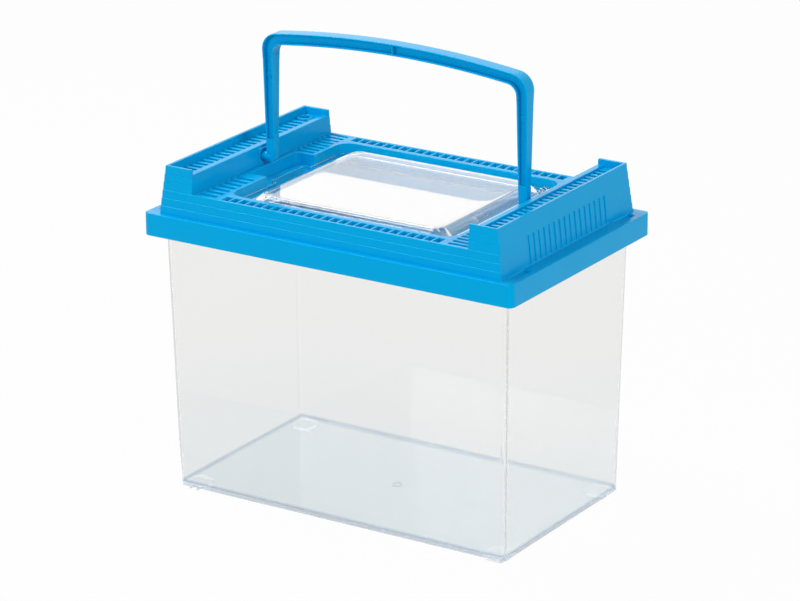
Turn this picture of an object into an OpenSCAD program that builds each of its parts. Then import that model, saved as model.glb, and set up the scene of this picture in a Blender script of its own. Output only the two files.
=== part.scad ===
// Plastic pet keeper: clear tank, slotted push-fit lid, clear feeding hatch and folding carry handle.
// Millimetres. X runs along the length, -Y is the front, Z = 0 is the surface that it stands on.
// The handle is drawn upright and the hatch shut, as they rest.

/* [Tank] */
// Outside length of the tank walls at the rim
tank_rim_x = 214.1; // [205:0.1:225]
// Outside width of the tank walls at the rim
tank_rim_y = 127.2; // [122:0.1:135]
// How far each end wall leans in from rim to floor
tank_lean_x = 3.1; // [1:0.1:6]
// How far each long wall leans in from rim to floor
tank_lean_y = 3.6; // [1:0.1:6]
// Height from the surface that the feet stand on to the rim
tank_h = 158.6; // [120:0.1:200]
// Thickness of the tank's walls
tank_wall = 1.8; // [1.2:0.1:2.6]
// Thickness of the tank's floor
tank_floor = 2; // [1.4:0.1:4]
// Radius of the tank's upright corners
tank_corner_r = 3; // [2:0.1:6]
// Reach of the rim flange outside the walls
flange_reach = 5.3; // [3:0.1:7]
// Thickness of the rim flange
flange_t = 2; // [1.4:0.1:3]

/* [Feet] */
// Height of the four moulded feet
foot_h = 2.5; // [1.5:0.1:5]
// Side of each foot where it meets the floor
foot_size = 14; // [8:0.5:24]
// Distance from the tank's corner edges in to each foot
foot_inset = 1.6; // [1:0.1:5]
// Draft of a foot's sides, as the bottom's share of the top
foot_taper = 0.86; // [0.7:0.01:0.98]

/* [Lid skirt] */
// Gap between the tank's rim flange and the inside of the skirt
skirt_gap = 0.85; // [0.4:0.05:1.5]
// Thickness of the skirt
skirt_wall = 1.8; // [1.2:0.1:3]
// How far the skirt hangs below the rim
skirt_drop = 10.6; // [6:0.1:20]
// Thickness of the plate that rests on the rim
plate_t = 2; // [1.4:0.1:3]
// Radius of the skirt's upright corners
skirt_r = 3.4; // [2.5:0.1:8]
// Width of the ledge at each end of the lid
ledge_x = 8.6; // [7.5:0.1:12]
// Width of the ledge along the front and back of the lid
ledge_y = 3.35; // [2:0.05:5]

/* [Lid body] */
// Height of one of the moulded steps of the lid's sides
step_h = 4.45; // [3.8:0.05:6]
// How far the smooth end faces lean in from the ledge to the towers' tops
end_lean = 3.1; // [1.5:0.1:4.5]
// How far each step sets back at the front and back
step_y = 0.4; // [0.2:0.02:0.6]
// Steps below the deck
deck_steps = 3; // [3:1:4]
// Steps that the end towers rise above the deck
tower_steps = 3; // [3:1:4]
// Thickness of the lid's sides
shell_wall = 1.7; // [1.3:0.1:1.8]
// Thickness of the deck, which hides the view through its holes
deck_t = 2.6; // [1.4:0.1:3]

/* [Towers] */
// Width of a tower at its top
tower_w = 16.85; // [15.8:0.05:18]
// Draft of a tower's inner face from deck to top
tower_draft = 0.55; // [0:0.05:1]
// Width of the low rim along a tower's inner face
rim_w = 3.5; // [2.8:0.1:5]
// Depth of the low rim below the tower's top
rim_drop = 3; // [2.4:0.1:3.6]
// Depth of the slotted tray floor below the tower's top
tray_drop = 4.1; // [3.9:0.1:5]
// Thickness of the slotted tray floor
tray_t = 1.4; // [1:0.1:2]
// Pitch of the tray slots
tray_pitch = 5.04; // [4.4:0.02:8]
// Solid tray floor kept beyond the last slot at each end
tray_land = 4; // [2:0.5:10]
// Width of a tray slot
tray_slot_w = 2.7; // [1.5:0.1:3]
// Radius of the hole for an air line in the left tray
air_hole_r = 3.2; // [2:0.1:3.5]
// Radius of the solid pad round the air line hole
air_pad_r = 4.9; // [4.5:0.1:5.2]
// Distance from the tower's outer edge in to the air line hole
air_hole_in = 6; // [5.3:0.1:6.7]
// How far the pad stands above the tray floor
air_pad_h = 0.5; // [0.2:0.1:1]

/* [Deck vents] */
// Pitch of the holes in a row
row_pitch = 5.27; // [4.8:0.01:8]
// Length of a row hole along the lid
row_hole_x = 3.87; // [3:0.01:4.2]
// Width of a row hole across the lid
row_hole_y = 6.3; // [4:0.1:7]
// Solid deck left at each end of an end slot
slot_land = 1.3; // [0.8:0.1:3]
// Pitch of the slots in front of the finger notch
left_front_pitch = 5.59; // [4.6:0.01:8]
// Pitch of the slots behind the finger notch
left_back_pitch = 4.77; // [4:0.01:8]
// Pitch of the slots at the right of the window
right_pitch = 4.38; // [3.8:0.01:8]
// Width of an end slot as a share of its pitch
slot_share = 0.5; // [0.35:0.01:0.55]

/* [Ledge and end faces] */
// Length of each pocket sunk in the end ledges
pocket_l = 16.3; // [8:0.1:18]
// Width of each pocket
pocket_w = 4.2; // [2:0.1:5]
// Depth of each pocket
pocket_d = 1.2; // [0.6:0.1:1.4]
// Distance from the middle of the lid to a pocket's inner end, across the lid
pocket_y = 45.5; // [30:0.1:46]
// Number of shallow grooves in each end face
grooves = 16; // [6:2:20]
// Pitch of the grooves
groove_pitch = 5.19; // [4:0.01:5.5]
// Width of a groove
groove_w = 2.8; // [1:0.1:3]
// Depth of a groove
groove_d = 0.6; // [0.3:0.05:0.7]
// Height of a groove
groove_h = 15; // [8:0.1:20]

/* [Window] */
// Width of the deck between the window recess and each tower
end_strip = 15.9; // [15.6:0.1:24]
// Width of the deck between the window recess and its front and back edges
side_strip = 11.7; // [10.8:0.1:18]
// Corner radius of the window recess
recess_r = 8; // [5:0.1:12]
// Depth of the recess from the deck to the seat of the hatch
recess_d = 6.6; // [6.4:0.1:8]
// Thickness of the recess walls
recess_wall = 1.4; // [1:0.1:1.8]
// Width of the seat that carries the hatch
seat_w = 4; // [2.5:0.1:6]
// Thickness of that seat
seat_t = 1.4; // [1:0.1:2.4]
// Reach of the finger notch beyond the recess
notch_x = 12; // [8:0.1:12.4]
// Where the finger notch starts, towards the front
notch_front = 19.2; // [10:0.1:19.5]
// Where the finger notch ends, towards the back
notch_back = 26.5; // [10:0.1:27]
// Corner radius of the finger notch
notch_r = 4; // [2:0.1:5]

/* [Hatch] */
// Gap between the hatch and the recess walls
hatch_gap = 1.2; // [0.6:0.1:2]
// Thickness of the hatch's flange
hatch_t = 1.8; // [1.4:0.1:2]
// Wall thickness of the raised panel of the hatch
hatch_wall = 1.5; // [1.1:0.1:2]
// How far the raised panel's top stands inside the flange's ends
panel_in_x = 12.8; // [9:0.1:20]
// How far the raised panel's top stands inside the flange's front and back
panel_in_y = 8.1; // [6.6:0.1:14]
// How far the raised panel's foot stands outside its top at the ends
panel_slope_x = 6; // [3:0.1:6.5]
// How far the raised panel's foot stands outside its top at the front and back
panel_slope_y = 4.4; // [3:0.1:4.8]
// Corner radius of the raised panel's top
panel_r = 5; // [3:0.1:8]
// Length of the finger tab across the lid
tab_l = 33; // [15:0.5:36]
// Reach of the finger tab into the finger notch
tab_reach = 4.2; // [2:0.1:6]
// Distance from the hatch's right edge in to its hinge line
hinge_in = 8.3; // [7.5:0.1:14]
// Radius of the hatch's hinge pins
hatch_pin_r = 1.2; // [0.9:0.05:1.4]
// Radius of the knuckles that carry the hinge pins
knuckle_r = 2; // [1.7:0.05:2.4]

/* [Handle] */
// How far the folded arch clears the deck's long edges
arch_clear = 1.9; // [1:0.1:20]
// Gap between a leg and the tower beside it
leg_gap = 3; // [2.6:0.1:6]
// How far each leg narrows the handle's outside from top to pivot
leg_draw = 0.85; // [0:0.05:1.5]
// Width of a leg under the arch
leg_w_top = 6.7; // [5.8:0.1:7.8]
// Width of a leg at the pivot
leg_w_foot = 5.15; // [4.6:0.05:5.6]
// Radius of the arch along its top
arch_r = 570; // [450:5:800]
// Height of the arch section
arch_t = 6.3; // [5.4:0.1:8]
// Outside radius of the corners between arch and legs
corner_out_r = 10; // [7:0.1:14]
// Inside radius of those corners
corner_in_r = 6; // [4:0.1:8]
// Depth of the arch from front to back
arch_depth = 8.3; // [7.2:0.1:9]
// Depth of a leg under the arch
leg_depth_top = 6.75; // [6:0.05:7.1]
// Depth of a leg at the pivot
leg_depth_foot = 4.2; // [3.6:0.1:5]
// Thickness of the web between the two channels
web_t = 1.4; // [1:0.1:2.2]
// Thickness of the flanges beside the channels
rib_t = 0.85; // [0.6:0.05:1.2]
// Height of the solid foot of a leg above the pivot
solid_foot = 10.5; // [6:0.1:20]
// Height of the ejector pads above the pivot
pad_height = 46.5; // [30:0.1:50]
// Radius of the ejector pads, which fill the channels between the flanges
pad_r = 2.45; // [2:0.05:2.6]
// How far the ejector pads stand proud of the web
pad_proud = 0.3; // [0.2:0.05:0.6]

/* [Handle pivot] */
// Gap between the folded handle and the deck
fold_gap = 0.4; // [0.3:0.05:1]
// Radius of the pivot pins
pivot_pin_r = 1.9; // [1.4:0.05:2]
// Radius of the bosses that carry the pivot pins
pivot_boss_r = 2.6; // [2.3:0.05:3]
// Side of the bearing pad on a tower's inner face
bearing_w = 9; // [8:0.1:12]
// How far the bearing pad stands proud of the tower
bearing_proud = 0.8; // [0.5:0.1:1.2]
// Depth of the ring sunk in the bearing pad
bearing_sink = 0.9; // [0.5:0.1:1.3]
// Running clearance of the pins in their holes, on the radius
pin_fit = 0.06; // [0.03:0.01:0.1]
// End gap between a boss and the floor of its sunk ring
end_gap = 0.3; // [0.2:0.05:0.5]

/* [Hidden] */
$fn = 48;
// overrun of a cutting tool past the face that it opens
cut = 1;
// points along a corner, along the arch and round a small outline corner
corner_pts = 6;
arch_pts = 24;
// solid deck between a row of holes and the deck's long edge
row_land = 0.1;
// distance from the vented deck's front and back edges in to the first end slot
front_first = 3.6;
back_first = 1.9;
// gap round a pivot boss in its sunk ring
boss_gap = 0.8;
// length of the knuckles on the hatch's hinge pins
knuckle_l = 5;
// the hatch panel's rounded rim: reach beyond its top in X and in Y, and depth below it
panel_rim = [[1.2, 0.9, 1.2], [0.4, 0.3, 0.4], [-0.8, -0.8, 0.1]];
// height over which a handle leg widens from front to back into the arch
shoulder_h = 12;
// thickness of the rib in the middle of the arch, and the rim left round it
rib_mid_t = 0.8;
rib_mid_in = 0.3;
blue = [0.01, 0.62, 0.85];
clear = [0.86, 0.91, 0.93, 0.45];

// tank
rim_hx = tank_rim_x / 2;
rim_hy = tank_rim_y / 2;
lean_h = tank_h - foot_h;
floor_z = foot_h + tank_floor;
flange_hx = rim_hx + flange_reach;
flange_hy = rim_hy + flange_reach;

// lid
skirt_hx = flange_hx + skirt_gap + skirt_wall;
skirt_hy = flange_hy + skirt_gap + skirt_wall;
plate_z = tank_h + plate_t;
body_hx = skirt_hx - ledge_x;
body_hy = skirt_hy - ledge_y;
steps = deck_steps + tower_steps;
deck_z = plate_z + deck_steps * step_h;
top_z = plate_z + steps * step_h;
deck_hy = body_hy - (deck_steps - 1) * step_y;
top_hx = body_hx - end_lean;
top_hy = body_hy - (steps - 1) * step_y;
tower_top_in = top_hx - tower_w;
tower_in = tower_top_in - tower_draft;
rim_z = top_z - rim_drop;
tray_z = top_z - tray_drop;
tray_in = tower_top_in + rim_w;
tray_out = top_hx - shell_wall;
tray_hy = top_hy - shell_wall;
tray_slots = 2 * pattern_half(tray_hy - tray_land, tray_pitch, tray_slot_w);
air_hole_x = top_hx - air_hole_in;
air_hole_y = (tray_slots - 1) / 2 * tray_pitch;
tower_cavity_in = tower_top_in + shell_wall;

// window and vents
recess_x = tower_in - end_strip;
recess_y = deck_hy - side_strip;
seat_z = deck_z - recess_d;
tub_hx = recess_x + recess_wall;
vent_hy = deck_hy - shell_wall;
row_y = vent_hy - row_hole_y / 2 - row_land;
row_holes = 2 * pattern_half(recess_x - 1, row_pitch, row_hole_x);
right_slots = 2 * pattern_half(vent_hy, right_pitch, right_pitch * slot_share);
front_slot_y = vent_hy - front_first;
back_slot_y = vent_hy - back_first;

notch_mid = (notch_back - notch_front) / 2;

// hatch
flange_x = recess_x - hatch_gap;
flange_y = recess_y - hatch_gap;
flange_r = recess_r - hatch_gap;
panel_x = flange_x - panel_in_x;
panel_y = flange_y - panel_in_y;
hatch_hinge_x = flange_x - hinge_in;
hatch_z = seat_z + hatch_t / 2;
seat_end = hatch_hinge_x - knuckle_r - cut;

// handle
handle_half = tower_in - leg_gap;
pivot_z = deck_z + arch_depth / 2 + fold_gap;
arch_top = pivot_z + deck_hy + arch_clear + arch_t;
arch_c = arch_top - arch_r;
leg_out_foot = handle_half - leg_draw;
leg_in_top = handle_half - leg_w_top;
leg_in_foot = leg_out_foot - leg_w_foot;
leg_mid_foot = leg_out_foot - leg_w_foot / 2;
boss_end = tower_in - bearing_proud + bearing_sink - end_gap;
pin_end = tower_cavity_in - end_gap;

// how many cuts of width w at this pitch fit on each side of the middle, within half
function pattern_half(half, pitch, w) = floor((half - w / 2) / pitch + 0.5);

// how many cuts at this pitch fit in a run that starts at its outer end
function pattern_run(run, pitch) = floor(run / pitch) + 1;

// half sizes of the tank's outside at height z
function tank_hx(z) = rim_hx - tank_lean_x * (tank_h - z) / lean_h;
function tank_hy(z) = rim_hy - tank_lean_y * (tank_h - z) / lean_h;

// half length of the lid's body at height z, between its leaning end faces
function end_x(z) = body_hx - end_lean * (z - plate_z) / (top_z - plate_z);

// points of an arc round (cx, cy)
function arc(cx, cy, r, a0, a1, n) =
    [for (i = [0:n]) [cx + r * cos(a0 + (a1 - a0) * i / n), cy + r * sin(a0 + (a1 - a0) * i / n)]];

// outline of a rectangle with round corners, from its half sizes
function round_rect(hx, hy, r) = concat(
    arc(hx - r, hy - r, r, 0, 90, corner_pts),
    arc(r - hx, hy - r, r, 90, 180, corner_pts),
    arc(r - hx, r - hy, r, 180, 270, corner_pts),
    arc(hx - r, r - hy, r, 270, 360, corner_pts));

function mirrored(pts) = [for (i = [len(pts) - 1:-1:0]) [-pts[i][0], pts[i][1]]];

module slab(hx, hy, r, z0, z1) {
    translate([0, 0, z0])
        linear_extrude(z1 - z0)
            polygon(round_rect(hx, hy, r));
}

module box(x0, x1, y0, y1, z0, z1) {
    translate([x0, y0, z0])
        cube([x1 - x0, y1 - y0, z1 - z0]);
}

// solid with the tank's lean between two heights, set in by inset
module leaning(z0, z1, inset) {
    hx0 = tank_hx(z0) - inset;
    hy0 = tank_hy(z0) - inset;
    translate([0, 0, z0])
        linear_extrude(z1 - z0, slices = 1,
                       scale = [(tank_hx(z1) - inset) / hx0, (tank_hy(z1) - inset) / hy0])
            polygon(round_rect(hx0, hy0, tank_corner_r - min(inset, tank_corner_r - 1)));
}

module foot() {
    half = foot_size / 2;
    rotate([180, 0, 0])
        translate([0, 0, -foot_h - tank_floor / 2])
            linear_extrude(foot_h + tank_floor / 2, slices = 1, scale = foot_taper)
                polygon(round_rect(half, half, half / 2));
}

module tank() {
    color(clear) {
        difference() {
            union() {
                leaning(foot_h, tank_h, 0);
                slab(flange_hx, flange_hy, tank_corner_r, tank_h - flange_t, tank_h);
            }
            leaning(floor_z, tank_h + cut, tank_wall);
        }
        for (sx = [-1, 1], sy = [-1, 1])
            translate([sx * (tank_hx(foot_h) - foot_inset - foot_size / 2),
                       sy * (tank_hy(foot_h) - foot_inset - foot_size / 2), 0])
                foot();
    }
}

// the lid's body as one solid with stepped long sides and smooth leaning ends, set in by inset
module stepped(z0, inset) {
    stairs = [for (i = [0:steps - 1], up = [0, 1])
        [body_hy - i * step_y - inset, i + up == 0 ? z0 : plate_z + (i + up) * step_h]];
    x0 = end_x(z0) - inset;
    x1 = top_hx - inset;
    intersection() {
        rotate([90, 0, 90])
            translate([0, 0, -skirt_hx])
                linear_extrude(2 * skirt_hx)
                    polygon(concat(stairs, mirrored(stairs)));
        rotate([90, 0, 0])
            translate([0, 0, -skirt_hy])
                linear_extrude(2 * skirt_hy)
                    polygon([[-x0, z0], [x0, z0], [x1, top_z], [-x1, top_z]]);
    }
}

// the space between the two towers, above the deck
module between_towers() {
    over = tower_draft * cut / (top_z - deck_z);
    far_x = tower_top_in + over;
    rotate([90, 0, 0])
        translate([0, 0, -skirt_hy])
            linear_extrude(2 * skirt_hy)
                polygon([[-tower_in, deck_z], [tower_in, deck_z],
                         [far_x, top_z + cut], [-far_x, top_z + cut]]);
}

// hollow inside of the body, open at the bottom
module body_cavity() {
    intersection() {
        stepped(tank_h - cut, shell_wall);
        union() {
            box(-skirt_hx, skirt_hx, -skirt_hy, skirt_hy, 0, deck_z - deck_t);
            for (s = [-1, 1])
                scale([s, 1, 1])
                    box(tower_cavity_in, skirt_hx, -skirt_hy, skirt_hy, 0, tray_z - tray_t);
        }
    }
}

// outline of the window recess with its finger notch, grown by grow
module recess_outline(grow) {
    notch_half = (notch_back + notch_front) / 2;
    polygon(round_rect(recess_x + grow, recess_y + grow, recess_r + grow));
    translate([-recess_x, notch_mid])
        polygon(round_rect(notch_x + grow, notch_half + grow, notch_r + grow));
}

module tub() {
    translate([0, 0, seat_z - seat_t])
        linear_extrude(deck_z - seat_z + seat_t - deck_t / 2)
            recess_outline(recess_wall);
}

// the recess and the through window; the seat runs round three sides and stops short of the hinge
module window_cut() {
    translate([0, 0, seat_z])
        linear_extrude(deck_z - seat_z + cut)
            recess_outline(0);
    slab(recess_x - seat_w, recess_y - seat_w, recess_r - seat_w / 2, seat_z - seat_t - cut, seat_z + cut);
    intersection() {
        slab(recess_x, recess_y, recess_r, seat_z - seat_t - cut, seat_z + cut);
        box(seat_end, skirt_hx, -skirt_hy, skirt_hy, 0, deck_z);
    }
}

module slots_x(x0, x1, ys, w, z0, z1) {
    for (y = ys)
        box(x0, x1, y - w / 2, y + w / 2, z0, z1);
}

module deck_vents() {
    z0 = deck_z - deck_t - cut;
    z1 = deck_z + cut;
    for (i = [0:row_holes - 1], s = [-1, 1])
        translate([(i - (row_holes - 1) / 2) * row_pitch, s * row_y, (z0 + z1) / 2])
            cube([row_hole_x, row_hole_y, z1 - z0], center = true);
    front_run = front_slot_y - notch_front - recess_wall - left_front_pitch * slot_share;
    back_run = back_slot_y - notch_back - recess_wall - left_back_pitch * slot_share;
    front = [for (i = [0:pattern_run(front_run, left_front_pitch) - 1]) i * left_front_pitch - front_slot_y];
    back = [for (i = [0:pattern_run(back_run, left_back_pitch) - 1]) back_slot_y - i * left_back_pitch];
    right = [for (i = [0:right_slots - 1]) (i - (right_slots - 1) / 2) * right_pitch];
    x0 = tub_hx + slot_land;
    x1 = tower_in - slot_land;
    slots_x(-x1, -x0, front, left_front_pitch * slot_share, z0, z1);
    slots_x(-x1, -x0, back, left_back_pitch * slot_share, z0, z1);
    slots_x(x0, x1, right, right_pitch * slot_share, z0, z1);
}

// the tray sunk in a tower's top, with its low inner rim, and the slots through its floor
module tray_cut(slot_count) {
    ys = [for (i = [0:slot_count - 1]) (i - (tray_slots - 1) / 2) * tray_pitch];
    box(tray_in, tray_out, -tray_hy, tray_hy, tray_z, top_z + cut);
    box(tower_in - cut, tray_in + cut, -tray_hy, tray_hy, rim_z, top_z + cut);
    slots_x(tray_in, tray_out, ys, tray_slot_w, tray_z - tray_t - cut, tray_z + cut);
}

module ledge_pockets() {
    x = (body_hx + flange_hx - skirt_gap) / 2;
    for (sx = [-1, 1], sy = [-1, 1])
        translate([sx * x, sy * (pocket_y + pocket_l / 2), plate_z + (cut - pocket_d) / 2])
            cube([pocket_w, pocket_l, pocket_d + cut], center = true);
}

// shallow grooves that keep their depth as the end faces lean back
module end_grooves() {
    groove_z = plate_z + 0.6;
    difference() {
        for (s = [-1, 1], i = [0:grooves - 1])
            translate([s * skirt_hx, (i - (grooves - 1) / 2) * groove_pitch, groove_z + groove_h / 2])
                cube([2 * (skirt_hx - top_hx + cut), groove_w, groove_h], center = true);
        stepped(plate_z, groove_d);
    }
}

// the bearing for a handle pin on the right tower; the left one is its mirror image
module bearing_pad() {
    box(tower_in - bearing_proud, tower_cavity_in, -bearing_w / 2, bearing_w / 2,
        deck_z - deck_t / 2, pivot_z + bearing_w / 2);
}

module bearing_cut() {
    x0 = tower_in - bearing_proud;
    translate([x0 - cut, 0, pivot_z])
        rotate([0, 90, 0])
            cylinder(r = pivot_boss_r + boss_gap, h = bearing_sink + cut);
    translate([x0, 0, pivot_z])
        rotate([0, 90, 0])
            cylinder(r = pivot_pin_r + pin_fit, h = tower_cavity_in - x0 + cut);
}

module hinge_holes() {
    for (s = [-1, 1])
        translate([hatch_hinge_x, s * (recess_y + recess_wall / 2), hatch_z])
            rotate([90, 0, 0])
                cylinder(r = hatch_pin_r + pin_fit, h = recess_wall + 2 * cut, center = true);
}

module air_pad() {
    translate([-air_hole_x, air_hole_y, tray_z - tray_t])
        cylinder(r = air_pad_r, h = tray_t + air_pad_h);
}

module air_hole() {
    translate([-air_hole_x, air_hole_y, tray_z - tray_t - cut])
        cylinder(r = air_hole_r, h = tray_t + air_pad_h + 2 * cut);
}

module skirt() {
    difference() {
        slab(skirt_hx, skirt_hy, skirt_r, tank_h - skirt_drop, plate_z);
        slab(skirt_hx - skirt_wall, skirt_hy - skirt_wall, skirt_r - skirt_wall,
             tank_h - skirt_drop - cut, tank_h);
    }
}

module lid() {
    color(blue)
        difference() {
            union() {
                difference() {
                    union() {
                        skirt();
                        stepped(tank_h, 0);
                    }
                    between_towers();
                    body_cavity();
                    tray_cut(tray_slots);
                    mirror([1, 0, 0])
                        tray_cut(tray_slots - 1);
                    deck_vents();
                }
                tub();
                air_pad();
                bearing_pad();
                mirror([1, 0, 0])
                    bearing_pad();
            }
            window_cut();
            ledge_pockets();
            end_grooves();
            bearing_cut();
            mirror([1, 0, 0])
                bearing_cut();
            hinge_holes();
            air_hole();
        }
}

// the raised panel of the hatch, with a rounded edge, set in and lowered by inset
module panel(inset) {
    top = deck_z - inset;
    hull() {
        slab(panel_x + panel_slope_x - inset, panel_y + panel_slope_y - inset, panel_r + 3,
             seat_z - inset, seat_z + hatch_t);
        for (e = panel_rim)
            slab(panel_x + e[0] - inset, panel_y + e[1] - inset, panel_r, top - e[2], top - e[2] + 0.1);
    }
}

module hatch() {
    pin_y = recess_y + recess_wall - 0.2;
    color(clear)
        difference() {
            union() {
                slab(flange_x, flange_y, flange_r, seat_z, seat_z + hatch_t);
                translate([-flange_x, notch_mid, 0])
                    slab(tab_reach, tab_l / 2, min(3, tab_reach - 0.1), seat_z, seat_z + hatch_t);
                panel(0);
                for (s = [-1, 1]) {
                    translate([hatch_hinge_x, s * (flange_y - knuckle_l / 2), hatch_z])
                        rotate([90, 0, 0])
                            cylinder(r = knuckle_r, h = knuckle_l, center = true);
                    translate([hatch_hinge_x, s * (pin_y + flange_y - cut) / 2, hatch_z])
                        rotate([90, 0, 0])
                            cylinder(r = hatch_pin_r, h = pin_y - flange_y + cut, center = true);
                }
            }
            panel(hatch_wall);
        }
}

// half of the handle's outer edge, from the right leg's foot to the middle of the arch, set in by inset
function outer_edge(z0, inset) = let (
        r = corner_out_r,
        cx = handle_half - r,
        cz = arch_c + sqrt(pow(arch_r - r, 2) - pow(cx, 2)),
        a = acos(cx / (arch_r - r)),
        x0 = leg_out_foot + leg_draw * (z0 - pivot_z) / (cz - pivot_z))
    concat([[x0 - inset, z0]],
           arc(cx, cz, r - inset, 0, a, 2 * corner_pts),
           arc(0, arch_c, arch_r - inset, a, 90, arch_pts / 2));

// half of the handle's inner edge, set out by inset
function inner_edge(z0, inset) = let (
        r = corner_in_r,
        ri = arch_r - arch_t,
        cx = leg_in_top - r,
        cz = arch_c + sqrt(pow(ri - r, 2) - pow(cx, 2)),
        a = acos(cx / (ri - r)),
        x0 = leg_in_foot + (leg_in_top - leg_in_foot) * (z0 - pivot_z) / (cz - pivot_z))
    concat([[x0 + inset, z0]],
           arc(cx, cz, r + inset, 0, a, 2 * corner_pts),
           arc(0, arch_c, ri + inset, a, 90, arch_pts / 2));

module hoop_solid(z0, inset, y0, y1) {
    translate([0, y1, 0])
        rotate([90, 0, 0])
            linear_extrude(y1 - y0)
                difference() {
                    polygon(concat(outer_edge(z0, inset), mirrored(outer_edge(z0, inset))));
                    polygon(concat([[leg_in_foot + inset, z0 - cut]], inner_edge(z0, inset),
                                   mirrored(inner_edge(z0, inset)), [[-leg_in_foot - inset, z0 - cut]]));
                }
}

// side view of the handle, which is deepest at the arch
module depth_profile() {
    shoulder = arch_top - corner_out_r - arch_t + 1;
    foot_z = pivot_z - leg_w_foot;
    right = [[leg_depth_foot / 2, foot_z], [leg_depth_foot / 2, pivot_z],
             [leg_depth_top / 2, shoulder - shoulder_h / 2], [arch_depth / 2, shoulder + shoulder_h / 2],
             [arch_depth / 2, arch_top + cut]];
    rotate([90, 0, 90])
        translate([0, 0, -tower_in])
            linear_extrude(2 * tower_in)
                polygon(concat(right, mirrored(right)));
}

module leg_foot() {
    translate([leg_mid_foot, 0, pivot_z])
        rotate([90, 0, 0])
            cylinder(d = leg_w_foot, h = leg_depth_foot, center = true);
    translate([leg_mid_foot, 0, pivot_z])
        rotate([0, 90, 0])
            cylinder(r = pivot_boss_r, h = boss_end - leg_mid_foot);
    translate([leg_mid_foot, 0, pivot_z])
        rotate([0, 90, 0])
            cylinder(r = pivot_pin_r, h = pin_end - leg_mid_foot);
}

module ejector_pad() {
    x = (leg_mid_foot + handle_half - leg_w_top / 2) / 2;
    translate([x, 0, pivot_z + pad_height])
        rotate([90, 0, 0])
            cylinder(r = pad_r, h = web_t + 2 * pad_proud, center = true);
}

module handle() {
    color(blue) {
        intersection() {
            depth_profile();
            difference() {
                hoop_solid(pivot_z, 0, -arch_depth, arch_depth);
                hoop_solid(pivot_z + solid_foot, rib_t, web_t / 2, arch_depth + cut);
                hoop_solid(pivot_z + solid_foot, rib_t, -arch_depth - cut, -web_t / 2);
            }
        }
        for (s = [0, 1])
            mirror([s, 0, 0]) {
                leg_foot();
                ejector_pad();
            }
        box(-rib_mid_t / 2, rib_mid_t / 2, rib_mid_in * 2 - arch_depth / 2, arch_depth / 2 - rib_mid_in * 2,
            arch_top - arch_t + rib_mid_in, arch_top - rib_mid_in);
    }
}

tank();
lid();
hatch();
handle();
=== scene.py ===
"""Looks of the plastic pet keeper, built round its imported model. Metres, +Z up, -Y is the front."""

import math

import bmesh
import bpy
from mathutils import Matrix, Vector


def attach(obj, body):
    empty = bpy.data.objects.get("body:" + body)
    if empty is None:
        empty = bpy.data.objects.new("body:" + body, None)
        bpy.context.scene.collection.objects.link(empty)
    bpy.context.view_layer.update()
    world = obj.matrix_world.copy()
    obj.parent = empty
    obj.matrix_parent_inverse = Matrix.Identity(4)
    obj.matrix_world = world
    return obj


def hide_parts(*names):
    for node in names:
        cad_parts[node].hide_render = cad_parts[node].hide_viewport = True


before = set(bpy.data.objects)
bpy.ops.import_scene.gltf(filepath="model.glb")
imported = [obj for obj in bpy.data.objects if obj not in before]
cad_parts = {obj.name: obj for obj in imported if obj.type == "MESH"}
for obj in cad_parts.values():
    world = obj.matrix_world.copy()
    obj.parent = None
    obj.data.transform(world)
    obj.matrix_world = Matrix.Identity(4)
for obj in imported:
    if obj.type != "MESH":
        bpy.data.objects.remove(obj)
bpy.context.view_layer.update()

MM = 0.001

# camera, fitted to the photograph's edges; angles in degrees
PHOTO_W = 800
CAMERA_AZIMUTH = 32.74
CAMERA_ELEVATION = 19.56
CAMERA_ROLL = -0.34
CAMERA_DISTANCE = 2.1337
CAMERA_AIM = Vector((0, 0, 0.100))
FOCAL_PX = 3958.7
AXIS_PX = (-2.98, 18.3)
SENSOR = 36.0

# studio: the white that the camera sees directly, in a reflection and through clear plastic
ROOM_LIGHT = 0.32
FLOOR_WHITE = 0.96
SKY_REFLECTED = 0.92
FLOOR_REFLECTED = 0.5
FLOOR_THROUGH_CLEAR = 0.93
FLOOR_GREY = 0.62
FLOOR_SIZE = 12
FLOOR_GAP = 0.2 * MM
LAMP_AIM = Vector((0, 0, 0.15))

# edges of the mouldings: how far each is rounded, and the angles past which an edge is sharp
LID_ROUND = 0.4 * MM
HANDLE_ROUND = 0.3 * MM
CLEAR_ROUND = 0.35 * MM
WELD = 0.005 * MM
SHARP = math.radians(28)
CREASE_OUT = math.radians(50)
CREASE_IN = math.radians(20)

# clear plastic: light caught in a wall for more bounces than this gets out through a low cover
CAUGHT_AFTER = 4.5
LOW_COVER = 0.15
TANK_IOR = 1.55
HATCH_IOR = 1.65

# the tank upwards: tops of the feet, of the floor, of the band of painted shade above the floor and
# of the painted shade low on the walls
FOOT_TOP = 2.5 * MM
FLOOR_TOP = 4.5 * MM
PAINTED_CORNER_SHADE_TOP = 6.6 * MM
PAINTED_WALL_SHADE_TOP = 95 * MM
FLOOR_SKIN = 0.2 * MM
FOOT_MARGIN = 0.1 * MM
FOOT_COVER = 0.2
LEVEL = 0.98

# marks of the mould in the tank's floor, in mm: place, radius of the ring and of its wire
MOULD_MARKS = (((0.6, -0.8), 2.7, 0.3),
               ((50.4, -2.3), 2.4, 0.14))


def deselect_all():
    if bpy.context.object and bpy.context.object.mode != "OBJECT":
        bpy.ops.object.mode_set(mode="OBJECT")
    bpy.ops.object.select_all(action="DESELECT")


def activate(obj):
    deselect_all()
    obj.select_set(True)
    bpy.context.view_layer.objects.active = obj


def apply_modifier(obj, kind, **settings):
    activate(obj)
    modifier = obj.modifiers.new(kind.lower(), kind)
    for key, value in settings.items():
        setattr(modifier, key, value)
    bpy.ops.object.modifier_apply(modifier=modifier.name)


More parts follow.
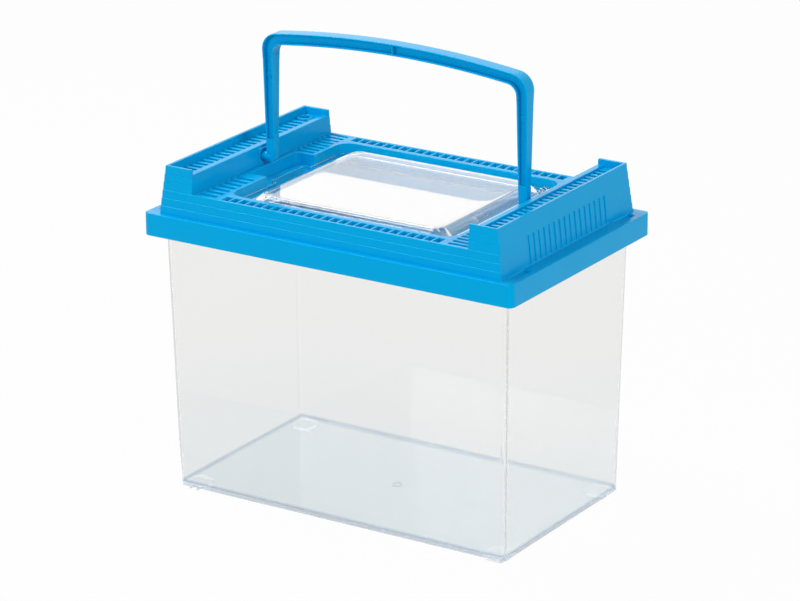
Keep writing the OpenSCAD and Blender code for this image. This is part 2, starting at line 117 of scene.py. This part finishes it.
def weigh_outer_edges(mesh):
    """Give bevel weight to the sharp edges that stand out, and none to the ones that turn in."""
    work = bmesh.new()
    work.from_mesh(mesh)
    weight = work.edges.layers.float.new("bevel_weight_edge")
    for edge in work.edges:
        if len(edge.link_faces) == 2 and edge.calc_face_angle_signed() > SHARP:
            edge[weight] = 1.0
    work.to_mesh(mesh)
    work.free()


def mark_creases(mesh):
    """Shade smooth, with a crease at each sharp edge and at each edge that turns in."""
    work = bmesh.new()
    work.from_mesh(mesh)
    for face in work.faces:
        face.smooth = True
    for edge in work.edges:
        edge.smooth = (len(edge.link_faces) == 2
                       and -CREASE_IN < edge.calc_face_angle_signed() < CREASE_OUT)
    work.to_mesh(mesh)
    work.free()


def moulding(node, name, radius):
    """A copy of a CAD node as one welded skin, its outer edges rounded as a mould leaves them."""
    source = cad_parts[node]
    piece = bpy.data.objects.new(name, source.data.copy())
    bpy.context.scene.collection.objects.link(piece)
    piece.data.materials.clear()
    activate(piece)
    bpy.ops.mesh.customdata_custom_splitnormals_clear()
    bpy.ops.object.mode_set(mode="EDIT")
    bpy.ops.mesh.select_all(action="SELECT")
    bpy.ops.mesh.remove_doubles(threshold=WELD)
    bpy.ops.object.mode_set(mode="OBJECT")
    weigh_outer_edges(piece.data)
    apply_modifier(piece, "BEVEL", width=radius, segments=2, limit_method="WEIGHT",
                   use_clamp_overlap=False, miter_outer="MITER_SHARP", harden_normals=False)
    mark_creases(piece.data)
    apply_modifier(piece, "WEIGHTED_NORMAL", mode="FACE_AREA", weight=100, keep_sharp=True)
    return piece


# materials

def new_material(name):
    material = bpy.data.materials.new(name)
    material.use_nodes = True
    nodes = material.node_tree.nodes
    return material, nodes, material.node_tree.links, nodes["Principled BSDF"]


def object_noise(nodes, links, scale, detail=4.0):
    coords = nodes.new("ShaderNodeTexCoord")
    noise = nodes.new("ShaderNodeTexNoise")
    noise.inputs["Scale"].default_value = scale
    noise.inputs["Detail"].default_value = detail
    links.new(coords.outputs["Object"], noise.inputs["Vector"])
    return noise.outputs["Fac"]


def above_ground(nodes, links):
    """Height above the ground that the tank stands on."""
    coords = nodes.new("ShaderNodeTexCoord")
    split = nodes.new("ShaderNodeSeparateXYZ")
    links.new(coords.outputs["Object"], split.inputs["Vector"])
    return split.outputs["Z"]


def levelness(nodes, links):
    """1 on a level face and 0 on an upright one."""
    geometry = nodes.new("ShaderNodeNewGeometry")
    split = nodes.new("ShaderNodeSeparateXYZ")
    links.new(geometry.outputs["Normal"], split.inputs["Vector"])
    size = nodes.new("ShaderNodeMath")
    size.operation = "ABSOLUTE"
    links.new(split.outputs["Z"], size.inputs[0])
    return size.outputs["Value"]


def math_node(nodes, links, operation, first, second):
    """Both inputs are either a socket or a number."""
    node = nodes.new("ShaderNodeMath")
    node.operation = operation
    for value, entry in ((first, node.inputs[0]), (second, node.inputs[1])):
        if isinstance(value, float):
            entry.default_value = value
        else:
            links.new(value, entry)
    return node.outputs["Value"]


def mix_colours(nodes, links, factor, first, second):
    """A mix of two colours, each a socket or a plain colour, that follows the factor."""
    node = nodes.new("ShaderNodeMix")
    node.data_type = "RGBA"
    links.new(factor, node.inputs["Factor"])
    for colour, entry in ((first, "A"), (second, "B")):
        if isinstance(colour, tuple):
            node.inputs[entry].default_value = colour
        else:
            links.new(colour, node.inputs[entry])
    return node.outputs["Result"]


def relief(nodes, links, shader, height_map, strength, depth):
    bump = nodes.new("ShaderNodeBump")
    bump.inputs["Strength"].default_value = strength
    bump.inputs["Distance"].default_value = depth
    links.new(height_map, bump.inputs["Height"])
    links.new(bump.outputs["Normal"], shader.inputs["Normal"])


def blue_plastic():
    """Sky blue, with a slight change of shade and a fine skin."""
    material, nodes, links, shader = new_material("sky_blue_moulded_plastic")
    shader.inputs["Roughness"].default_value = 0.22
    shader.inputs["IOR"].default_value = 1.32
    shader.inputs["Specular Tint"].default_value = (0.05, 0.6, 1.0, 1)
    shade = mix_colours(nodes, links, object_noise(nodes, links, 45.0),
                        (0.0, 0.355, 0.700, 1), (0.0, 0.375, 0.730, 1))
    links.new(shade, shader.inputs["Base Color"])
    relief(nodes, links, shader, object_noise(nodes, links, 2600.0, 2.0), 0.06, 0.02 * MM)
    return material


def clear_plastic(name, ior, darker, lighter):
    """Refracting plastic with a slight change of tint and the faint waves of a moulded wall."""
    material, nodes, links, shader = new_material(name)
    shader.inputs["Roughness"].default_value = 0.02
    shader.inputs["IOR"].default_value = ior
    shader.inputs["Transmission Weight"].default_value = 1.0
    tint = mix_colours(nodes, links, object_noise(nodes, links, 12.0), darker, lighter)
    relief(nodes, links, shader, object_noise(nodes, links, 30.0, 1.0), 0.05, 0.2 * MM)
    return material, nodes, links, shader, tint, clear_cover(nodes, links)


def hatch_plastic():
    material, nodes, links, shader, tint, cover = clear_plastic(
        "clear_hatch_plastic", HATCH_IOR, (0.842, 0.845, 0.848, 1), (0.857, 0.86, 0.862, 1))
    links.new(tint, shader.inputs["Base Color"])
    links.new(cover, shader.inputs["Alpha"])
    return material


def tank_plastic():
    """Clear walls with painted shade, darker low down and darkest just above the floor, which has
    painted shade and a painted blue reflection of the lid.
    """
    material, nodes, links, shader, tint, cover = clear_plastic(
        "clear_tank_plastic", TANK_IOR, (0.930, 0.930, 0.924, 1), (0.940, 0.938, 0.932, 1))
    # painted shade: the walls grow darker towards the bottom
    painted_low_wall_shade = (0.895, 0.912, 0.914, 1)
    # painted shade: a dark blue band along the foot of the walls, just above the floor
    painted_corner_shade = (0.40, 0.52, 0.63, 1)
    floor_side = (0.52, 0.62, 0.74, 1)
    # painted shade and a painted blue reflection of the lid on the floor's top face
    painted_floor_shade = (0.66, 0.715, 0.745, 1)
    # the floor's tint: the sides' colour, or the painted shade on level faces
    floor = mix_colours(nodes, links, levelness(nodes, links), floor_side, painted_floor_shade)
    for low, high, below in ((PAINTED_CORNER_SHADE_TOP, PAINTED_WALL_SHADE_TOP, painted_low_wall_shade),
                             (FLOOR_TOP, PAINTED_CORNER_SHADE_TOP, painted_corner_shade),
                             (FLOOR_TOP, FLOOR_TOP + FLOOR_SKIN, floor)):
        fade = nodes.new("ShaderNodeMapRange")
        fade.inputs["From Min"].default_value = low
        fade.inputs["From Max"].default_value = high
        links.new(above_ground(nodes, links), fade.inputs["Value"])
        tint = mix_colours(nodes, links, fade.outputs["Result"], below, tint)
    links.new(tint, shader.inputs["Base Color"])
    links.new(fainter_feet(nodes, links, cover), shader.inputs["Alpha"])
    return material


def clear_cover(nodes, links):
    """Full for what is seen, and low for light that falls in and for light caught inside a wall."""
    path = nodes.new("ShaderNodeLightPath")
    falls_in = math_node(nodes, links, "MAXIMUM", path.outputs["Is Shadow Ray"],
                         path.outputs["Is Diffuse Ray"])
    caught = math_node(nodes, links, "GREATER_THAN", path.outputs["Ray Depth"], CAUGHT_AFTER)
    passes = math_node(nodes, links, "MAXIMUM", falls_in, caught)
    cover = nodes.new("ShaderNodeMapRange")
    cover.inputs["To Min"].default_value = 1.0
    cover.inputs["To Max"].default_value = LOW_COVER
    links.new(passes, cover.inputs["Value"])
    return cover.outputs["Result"]


def fainter_feet(nodes, links, cover):
    """Less cover on the sides of the small feet, which barely show through the floor."""
    over_feet = math_node(nodes, links, "GREATER_THAN", above_ground(nodes, links),
                          FOOT_TOP - FOOT_MARGIN)
    level = math_node(nodes, links, "GREATER_THAN", levelness(nodes, links), LEVEL)
    shown = nodes.new("ShaderNodeMapRange")
    shown.inputs["To Min"].default_value = FOOT_COVER
    links.new(math_node(nodes, links, "MAXIMUM", over_feet, level), shown.inputs["Value"])
    return math_node(nodes, links, "MULTIPLY", cover, shown.outputs["Result"])


# stage

def make_camera():
    azimuth = math.radians(CAMERA_AZIMUTH)
    elevation = math.radians(CAMERA_ELEVATION)
    back = Vector((math.sin(azimuth) * math.cos(elevation),
                   -math.cos(azimuth) * math.cos(elevation),
                   math.sin(elevation)))
    data = bpy.data.cameras.new("photo_camera")
    camera = bpy.data.objects.new("photo_camera", data)
    bpy.context.scene.collection.objects.link(camera)
    camera.location = CAMERA_AIM + back * CAMERA_DISTANCE
    camera.rotation_mode = "QUATERNION"
    turn = (-back).to_track_quat("-Z", "Y").to_matrix()
    roll = Matrix.Rotation(math.radians(CAMERA_ROLL), 3, Vector((0, 0, 1)))
    camera.rotation_quaternion = (turn @ roll).to_quaternion()
    data.sensor_fit = "HORIZONTAL"
    data.sensor_width = SENSOR
    data.lens = FOCAL_PX * SENSOR / PHOTO_W
    data.shift_x = -AXIS_PX[0] / PHOTO_W
    data.shift_y = AXIS_PX[1] / PHOTO_W
    data.clip_start = 0.1
    data.clip_end = 50
    bpy.context.scene.camera = camera


def seen_directly(nodes, links, reflected, through_clear=1.0):
    """1 where the camera sees a surface, and less in a reflection or through clear plastic."""
    path = nodes.new("ShaderNodeLightPath")
    bounced = nodes.new("ShaderNodeMix")
    bounced.inputs["A"].default_value = reflected
    bounced.inputs["B"].default_value = through_clear
    links.new(path.outputs["Is Transmission Ray"], bounced.inputs["Factor"])
    indirect = math_node(nodes, links, "MAXIMUM", path.outputs["Is Glossy Ray"],
                         path.outputs["Is Transmission Ray"])
    share = math_node(nodes, links, "MULTIPLY", bounced.outputs["Result"], indirect)
    return math_node(nodes, links, "MAXIMUM", path.outputs["Is Camera Ray"], share)


def make_floor():
    """A white sweep that keeps a faint share of the shadow."""
    deselect_all()
    bpy.ops.mesh.primitive_plane_add(size=FLOOR_SIZE, location=(0, 0, -FLOOR_GAP))
    floor = bpy.context.object
    floor.name = "studio_floor"
    material, nodes, links, shader = new_material("studio_floor_white")
    shader.inputs["Roughness"].default_value = 0.9
    shader.inputs["Specular IOR Level"].default_value = 0.0
    shader.inputs["Base Color"].default_value = (FLOOR_GREY, FLOOR_GREY, FLOOR_GREY, 1)
    white = nodes.new("ShaderNodeEmission")
    seen = seen_directly(nodes, links, FLOOR_REFLECTED, FLOOR_THROUGH_CLEAR)
    blend = nodes.new("ShaderNodeMixShader")
    links.new(math_node(nodes, links, "MULTIPLY", seen, FLOOR_WHITE), blend.inputs["Fac"])
    links.new(shader.outputs["BSDF"], blend.inputs[1])
    links.new(white.outputs["Emission"], blend.inputs[2])
    links.new(blend.outputs["Shader"], nodes["Material Output"].inputs["Surface"])
    floor.data.materials.append(material)


def make_world():
    world = bpy.data.worlds.new("soft_studio")
    bpy.context.scene.world = world
    world.use_nodes = True
    nodes = world.node_tree.nodes
    links = world.node_tree.links
    background = nodes["Background"]
    background.inputs["Color"].default_value = (1, 1, 1, 1)
    strength = nodes.new("ShaderNodeMix")
    strength.inputs["A"].default_value = ROOM_LIGHT
    strength.inputs["B"].default_value = 1.0
    links.new(seen_directly(nodes, links, SKY_REFLECTED), strength.inputs["Factor"])
    links.new(strength.outputs["Result"], background.inputs["Strength"])


def make_lamp(name, place, width, height, power):
    data = bpy.data.lights.new(name, "AREA")
    data.shape = "RECTANGLE"
    data.size = width
    data.size_y = height
    data.energy = power
    lamp = bpy.data.objects.new(name, data)
    bpy.context.scene.collection.objects.link(lamp)
    lamp.location = place
    lamp.rotation_mode = "QUATERNION"
    lamp.rotation_quaternion = (LAMP_AIM - lamp.location).to_track_quat("-Z", "Y")


make_camera()
make_world()
make_floor()
make_lamp("overhead_softbox", (-0.75, -0.05, 1.45), 0.8, 0.8, 14)
make_lamp("back_softbox", (-0.7, 1.95, 1.0), 2.6, 1.4, 5.5)
make_lamp("front_softbox", (-0.35, -2.12, 0.9), 1.2, 1.2, 22)
make_lamp("right_softbox", (1.8, -0.4, 1.0), 1.0, 1.0, 18.5)

blue = blue_plastic()
clear = tank_plastic()
clear_hatch = hatch_plastic()

pieces = {}
for node, name, radius, material, body in (
        ("tank", "tank_moulding", CLEAR_ROUND, clear, "tank_body"),
        ("lid", "lid_moulding", LID_ROUND, blue, "lid_body"),
        ("hatch", "hatch_moulding", CLEAR_ROUND, clear_hatch, "hatch_body"),
        ("handle", "handle_moulding", HANDLE_ROUND, blue, "handle_body")):
    piece = moulding(node, name, radius)
    piece.data.materials.append(material)
    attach(piece, body)
    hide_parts(node)
    pieces[node] = piece

for (x, y), ring, wire in MOULD_MARKS:
    deselect_all()
    bpy.ops.mesh.primitive_torus_add(location=(x * MM, y * MM, FLOOR_TOP),
                                     major_radius=ring * MM, minor_radius=wire * MM,
                                     major_segments=48, minor_segments=12)
    bpy.ops.object.transform_apply()
    bpy.ops.object.shade_smooth()
    mark = bpy.context.object
    mark.data.materials.append(clear)
    activate(pieces["tank"])
    mark.select_set(True)
    bpy.ops.object.join()

bpy.context.scene.view_settings.view_transform = "Standard"
